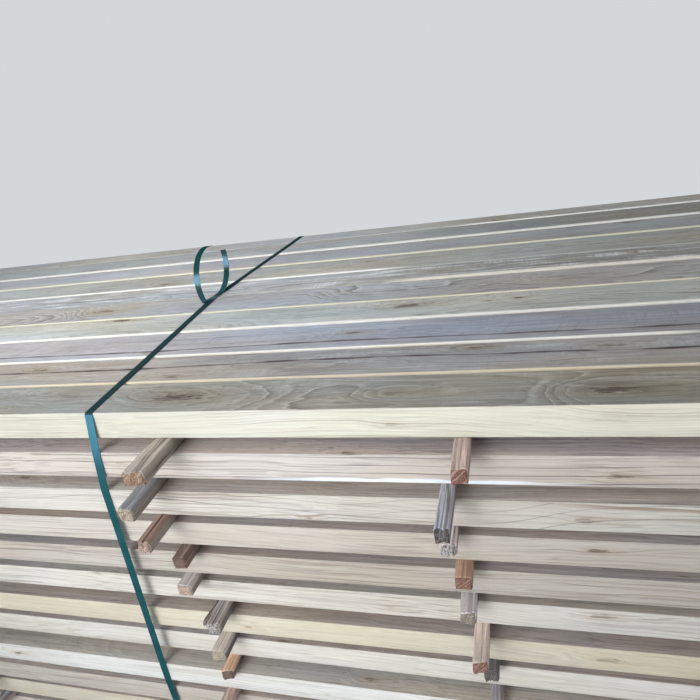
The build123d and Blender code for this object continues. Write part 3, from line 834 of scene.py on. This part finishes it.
# Rows of corners along, across and up a stick, and the stretch that its knots can lie in
STICK_CUTS = (40, 9, 8)
STICK_REACH = 1.3
STICK_WIDTH = 0.027
STICK_TREE = sawn_timber_tree("loose sticks", STICK_CUTS)
STICK_MATERIAL = sawn_material("old sawn sticks", ring_width=0.0044, streaks_a_metre=120.0,
                               ridge_depth=0.0022, figure=0.22, contrast=0.40, weather=0.85)
draw = random.Random(23)
for column in range(1, STICK_COLUMNS + 1):
    node = f"stick_column_{column}"
    sticks = []
    seen = SEEN_STICKS.get(column, ())
    from_the_top = sorted(lengths_in(node), key=lambda found: -found[0][0].z)
    for place, (plan, height) in enumerate(from_the_top):
        guess = (*[draw.choice(COMMON_EARTH) for _ in range(3)], draw.uniform(0.3, 1.0), 0.0, 0.3)
        top, sides, end, age, crack, dragged = seen[place] if place < len(seen) else guess
        corners = (plan[1], plan[2], plan[3], plan[0])
        stick = {f"corner_{letter}": corner for letter, corner in zip("abcd", corners)}
        stick.update(
            height=height, seed=draw.uniform(0.0, 20.0), age=age,
            streak=(0.3 + 0.7 * age) * draw.uniform(0.6, 1.0), dragged=dragged,
            wide_tint=rgba(EARTH[top]), narrow_tint=rgba(EARTH[sides]), end_tint=rgba(EARTH[end]),
            scratched=0.0, chalky=0.3, figured=1.0, ringed=0.6, to_right=(1.0, 1.0, 0.0),
            line=(0.013, 0.003, 0.0011, crack), edge_line=NO_EDGE_LINES, bare=NOWHERE, sapwood=NOWHERE)
        add_knots(stick, filled((), WIDE_KNOTS, draw, STICK_REACH, STICK_WIDTH),
                  filled((), NARROW_KNOTS, draw, STICK_REACH, height))
        sticks.append(stick)
        if (column, place) == (SPLINTER["column"], SPLINTER["stick"]):
            tip = corners[3] + Vector((-SPLINTER["off"], 0.012, 0.004))
            root = corners[3].lerp(corners[2], SPLINTER["root"] / (corners[2] - corners[3]).length)
            root += Vector((0.0, 0.0, 0.004))
            splinter = dict(
                stick, height=0.6 * height, seed=stick["seed"] + 1.0,
                corner_a=tip + Vector((SPLINTER["tip"], 0.0, 0.0)), corner_d=tip,
                corner_b=root + Vector((SPLINTER["width"], 0.0, 0.0)),
                corner_c=root + Vector((0.001, 0.0, 0.0)))
            sticks.append(splinter)
    sizes = {"Easing": 0.004, "Wander": 0.0015, "Wear": 0.0028, "Ragged ends": 0.009}
    row = timber_piece(node + "_sticks", sticks, STICK_TREE, sizes, STICK_MATERIAL)
    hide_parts(node)
    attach(row, "root")

# Straps. Each is one flat band of extruded polyester, embossed, pulled taut round the pack with a
# machine and friction-welded on top, where its two cut ends spring up in a ring.

# How far back each strap's weld lies, the level of the pack's top, and how fine the marks are
WELDS = {"strap_left": 0.114, "strap_middle": -0.016, "strap_right": -0.111}
PACK_TOP = 1.014
EMBOSSING_RATE = 3600.0
JAW_RATE = 650.0


def strap_material():
    """Glossy dark teal plastic with a fine embossed pattern and a few dull scuffs."""
    material, tree, shader = new_material("embossed polyester")
    place = new_node(tree, "ShaderNodeTexCoord").outputs["Object"]
    x, y, z = split(tree, place)
    lengthwise = plus(tree, y, z)
    rows = sums(tree, "SINE", times(tree, plus(tree, x, lengthwise), EMBOSSING_RATE))
    ranks = sums(tree, "SINE", times(tree, minus(tree, x, lengthwise), EMBOSSING_RATE))
    waffle = times(tree, rows, ranks)
    scuffs = noise(tree, scaled(tree, place, 60.0), 3.0)
    # The run over the top has lost its gloss, and is painted darker there as shade
    level = sums(tree, "ABSOLUTE", minus(tree, z, PACK_TOP))
    glossy = mapped(tree, level, 0.0012, 0.003, 0.03, 1.0)
    strap_teal = between(tree, "RGBA", mapped(tree, scuffs, 0.35, 0.7),
                    (0.010, 0.074, 0.086, 1.0), (0.016, 0.096, 0.110, 1.0))
    # The weld is melted, rough and paler, with the marks of the jaws across it
    off_weld = sums(tree, "ABSOLUTE", minus(tree, y, stored(tree, "weld")["Fac"]))
    welded = mapped(tree, off_weld, 0.014, 0.018, 1.0, 0.0)
    welded = times(tree, welded, mapped(tree, z, 1.018, 1.022, 1.0, 0.0))
    welded = times(tree, welded, mapped(tree, z, 1.0135, 1.0138))
    jaws = mapped(tree, sums(tree, "SINE", times(tree, y, JAW_RATE)), 0.0, 0.7)
    # Its free ends are painted a deeper green, as shade
    strap_teal = between(tree, "RGBA", mapped(tree, z, 1.02, 1.05), strap_teal, (0.007, 0.050, 0.047, 1.0))
    # Painted shade: the top run is given a darker colour
    colour = between(tree, "RGBA", glossy, (0.018, 0.045, 0.047, 1.0), strap_teal)
    colour = between(tree, "RGBA", times(tree, welded, jaws), colour, (0.190, 0.270, 0.280, 1.0))
    bump = new_node(tree, "ShaderNodeBump", Strength=0.25, Distance=0.0002, Height=waffle).outputs[0]
    feed_all(tree, shader, Base_Color=colour, Roughness=mapped(tree, scuffs, 0.4, 0.75, 0.35, 0.50),
             Normal=bump, Coat_Weight=glossy, Coat_Roughness=0.21, Specular_IOR_Level=0.05)
    return material


STRAP_MATERIAL = strap_material()
for node, weld in WELDS.items():
    band = joined_shell(node)
    mesh = bpy.data.meshes.new(node + "_band")
    for face in band.faces:
        face.smooth = True
    for edge in band.edges:
        edge.smooth = edge.calc_face_angle(3.0) < 0.5
    band.to_mesh(mesh)
    band.free()
    layer = mesh.attributes.new("weld", "FLOAT", "POINT")
    layer.data.foreach_set("value", [weld] * len(mesh.vertices))
    mesh.materials.append(STRAP_MATERIAL)
    strap = new_object(node + "_band", mesh)
    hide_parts(node)
    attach(strap, "root")

# The studio: a plain pale floor and the soft light of an overcast sky, brighter from the front left.

floor_mesh = bpy.data.meshes.new("floor")
floor_mesh.from_pydata([(-60, -60, 0), (60, -60, 0), (60, 60, 0), (-60, 60, 0)], [], [(0, 1, 2, 3)])
floor = new_object("floor", floor_mesh)
floor_material, floor_tree, floor_shader = new_material("pale floor")
spot = new_node(floor_tree, "ShaderNodeTexCoord").outputs["Object"]
far_off = mapped(floor_tree, vectors(floor_tree, "LENGTH", spot), 2.4, 4.6, 0.0, 1.0, "SMOOTHSTEP")
near_tone, far_tone, black = (0.76, 0.77, 0.77, 1.0), (0.66, 0.68, 0.70, 1.0), (0.0, 0.0, 0.0, 1.0)
feed_all(floor_tree, floor_shader, Base_Color=between(floor_tree, "RGBA", far_off, near_tone, black),
         Emission_Color=between(floor_tree, "RGBA", far_off, black, far_tone), Emission_Strength=1.0,
         Roughness=0.9, Specular_IOR_Level=0.0)
floor_mesh.materials.append(floor_material)
floor.visible_glossy = False

sky = bpy.data.worlds.new("overcast")
sky.use_nodes = True
sky_tree = sky.node_tree
toward = split(sky_tree, new_node(sky_tree, "ShaderNodeTexCoord").outputs["Generated"])
height_in_sky = mapped(sky_tree, toward[2], 0.22, 0.75, 0.0, 1.0, "SMOOTHSTEP")
sky_colour = between(sky_tree, "RGBA", height_in_sky, far_tone, (0.47, 0.49, 0.52, 1.0))
feed(sky_tree, sky_tree.nodes["Background"].inputs["Color"], sky_colour)
sky.cycles_visibility.glossy = False
bpy.context.scene.world = sky


def soft_light(name, place, aim, size, power, colour, tall=None, spread=180.0):
    """A large lamp that looks at a point and stays out of the picture, with a grid on it where it has
    a narrower spread. Given a height too, it is a tall panel that is seen only as a shine."""
    data = bpy.data.lights.new(name, "AREA")
    data.shape = "RECTANGLE"
    data.size = size
    data.size_y = tall or size
    data.energy = power
    data.color = colour
    data.spread = math.radians(spread)
    lamp = new_object(name, data)
    lamp.location = place
    lamp.rotation_euler = (Vector(aim) - Vector(place)).to_track_quat("-Z", "Y").to_euler()
    lamp.visible_camera = False
    lamp.visible_diffuse = tall is None
    lamp.visible_glossy = tall is not None


soft_light("key", (-0.4, -2.6, 1.5), (0.28, -0.6, 0.78), 1.4, 7.7, (0.96, 0.985, 1.0), spread=60.0)
soft_light("front fill", (0.4, -4.2, 0.8), (0.4, -0.6, 0.6), 2.6, 12.0, (1.0, 0.98, 0.95))
soft_light("above left", (-0.45, -0.15, 2.2), (-0.35, -0.15, 1.0), 0.9, 13.0, (0.92, 0.96, 1.0))
soft_light("mid shine", (-1.10, -2.03, 1.50), (0.12, -0.55, 1.20), 0.7, 27.0, (0.50, 0.80, 1.0), tall=1.6)
soft_light("sky panel", (-1.17, -2.12, 1.15), (0.12, -0.55, 1.15), 0.7, 25.0, (0.20, 0.62, 1.0), tall=1.9)

# The camera stands in front of the right half and looks down along the pack, turned a little.
FOCAL_IN_WIDTHS = 580 / 700
camera_data = bpy.data.cameras.new("camera")
camera_data.sensor_width = 36.0
camera_data.lens = FOCAL_IN_WIDTHS * camera_data.sensor_width
camera = new_object("camera", camera_data)
camera.location = (0.8724, -1.3184, 1.445)
turns = ((17.934, "Z"), (90.0 - 23.642, "X"), (-10.051, "Z"))
pan, tilt, roll = [Matrix.Rotation(math.radians(angle), 3, axis) for angle, axis in turns]
camera.rotation_euler = (pan @ tilt @ roll).to_euler()
bpy.context.scene.camera = camera
bpy.context.scene.view_settings.view_transform = "Standard"
